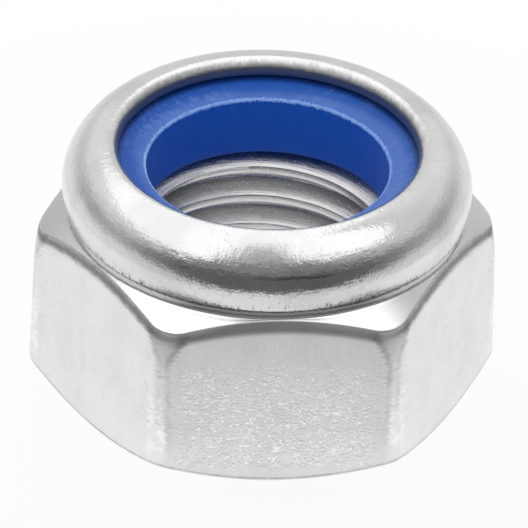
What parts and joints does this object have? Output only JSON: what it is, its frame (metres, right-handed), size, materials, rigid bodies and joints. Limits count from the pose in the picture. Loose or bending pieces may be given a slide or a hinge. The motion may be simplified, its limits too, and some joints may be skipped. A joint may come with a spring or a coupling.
{
  "type": "nylon insert lock nut",
  "caption": "Hexagonal steel lock nut with a rolled collar that grips a blue nylon ring; the ring squeezes the bolt's thread so the nut can't shake loose.",
  "frame": {"origin": "centre of the bearing face, on the thread's axis", "axes": "+Z along the thread's axis, from the bearing face towards the nylon ring; +X towards a corner of the hexagon; +Y towards the middle of a flat"},
  "size_m": [0.0274, 0.024, 0.0159],
  "materials": {
    "steel": "satin, polished on the collar",
    "nylon": "smooth, with a slight sheen"
  },
  "bodies": {
    "root": {"nut_body": "steel", "nylon_ring": "nylon"}
  },
  "joints": []
}
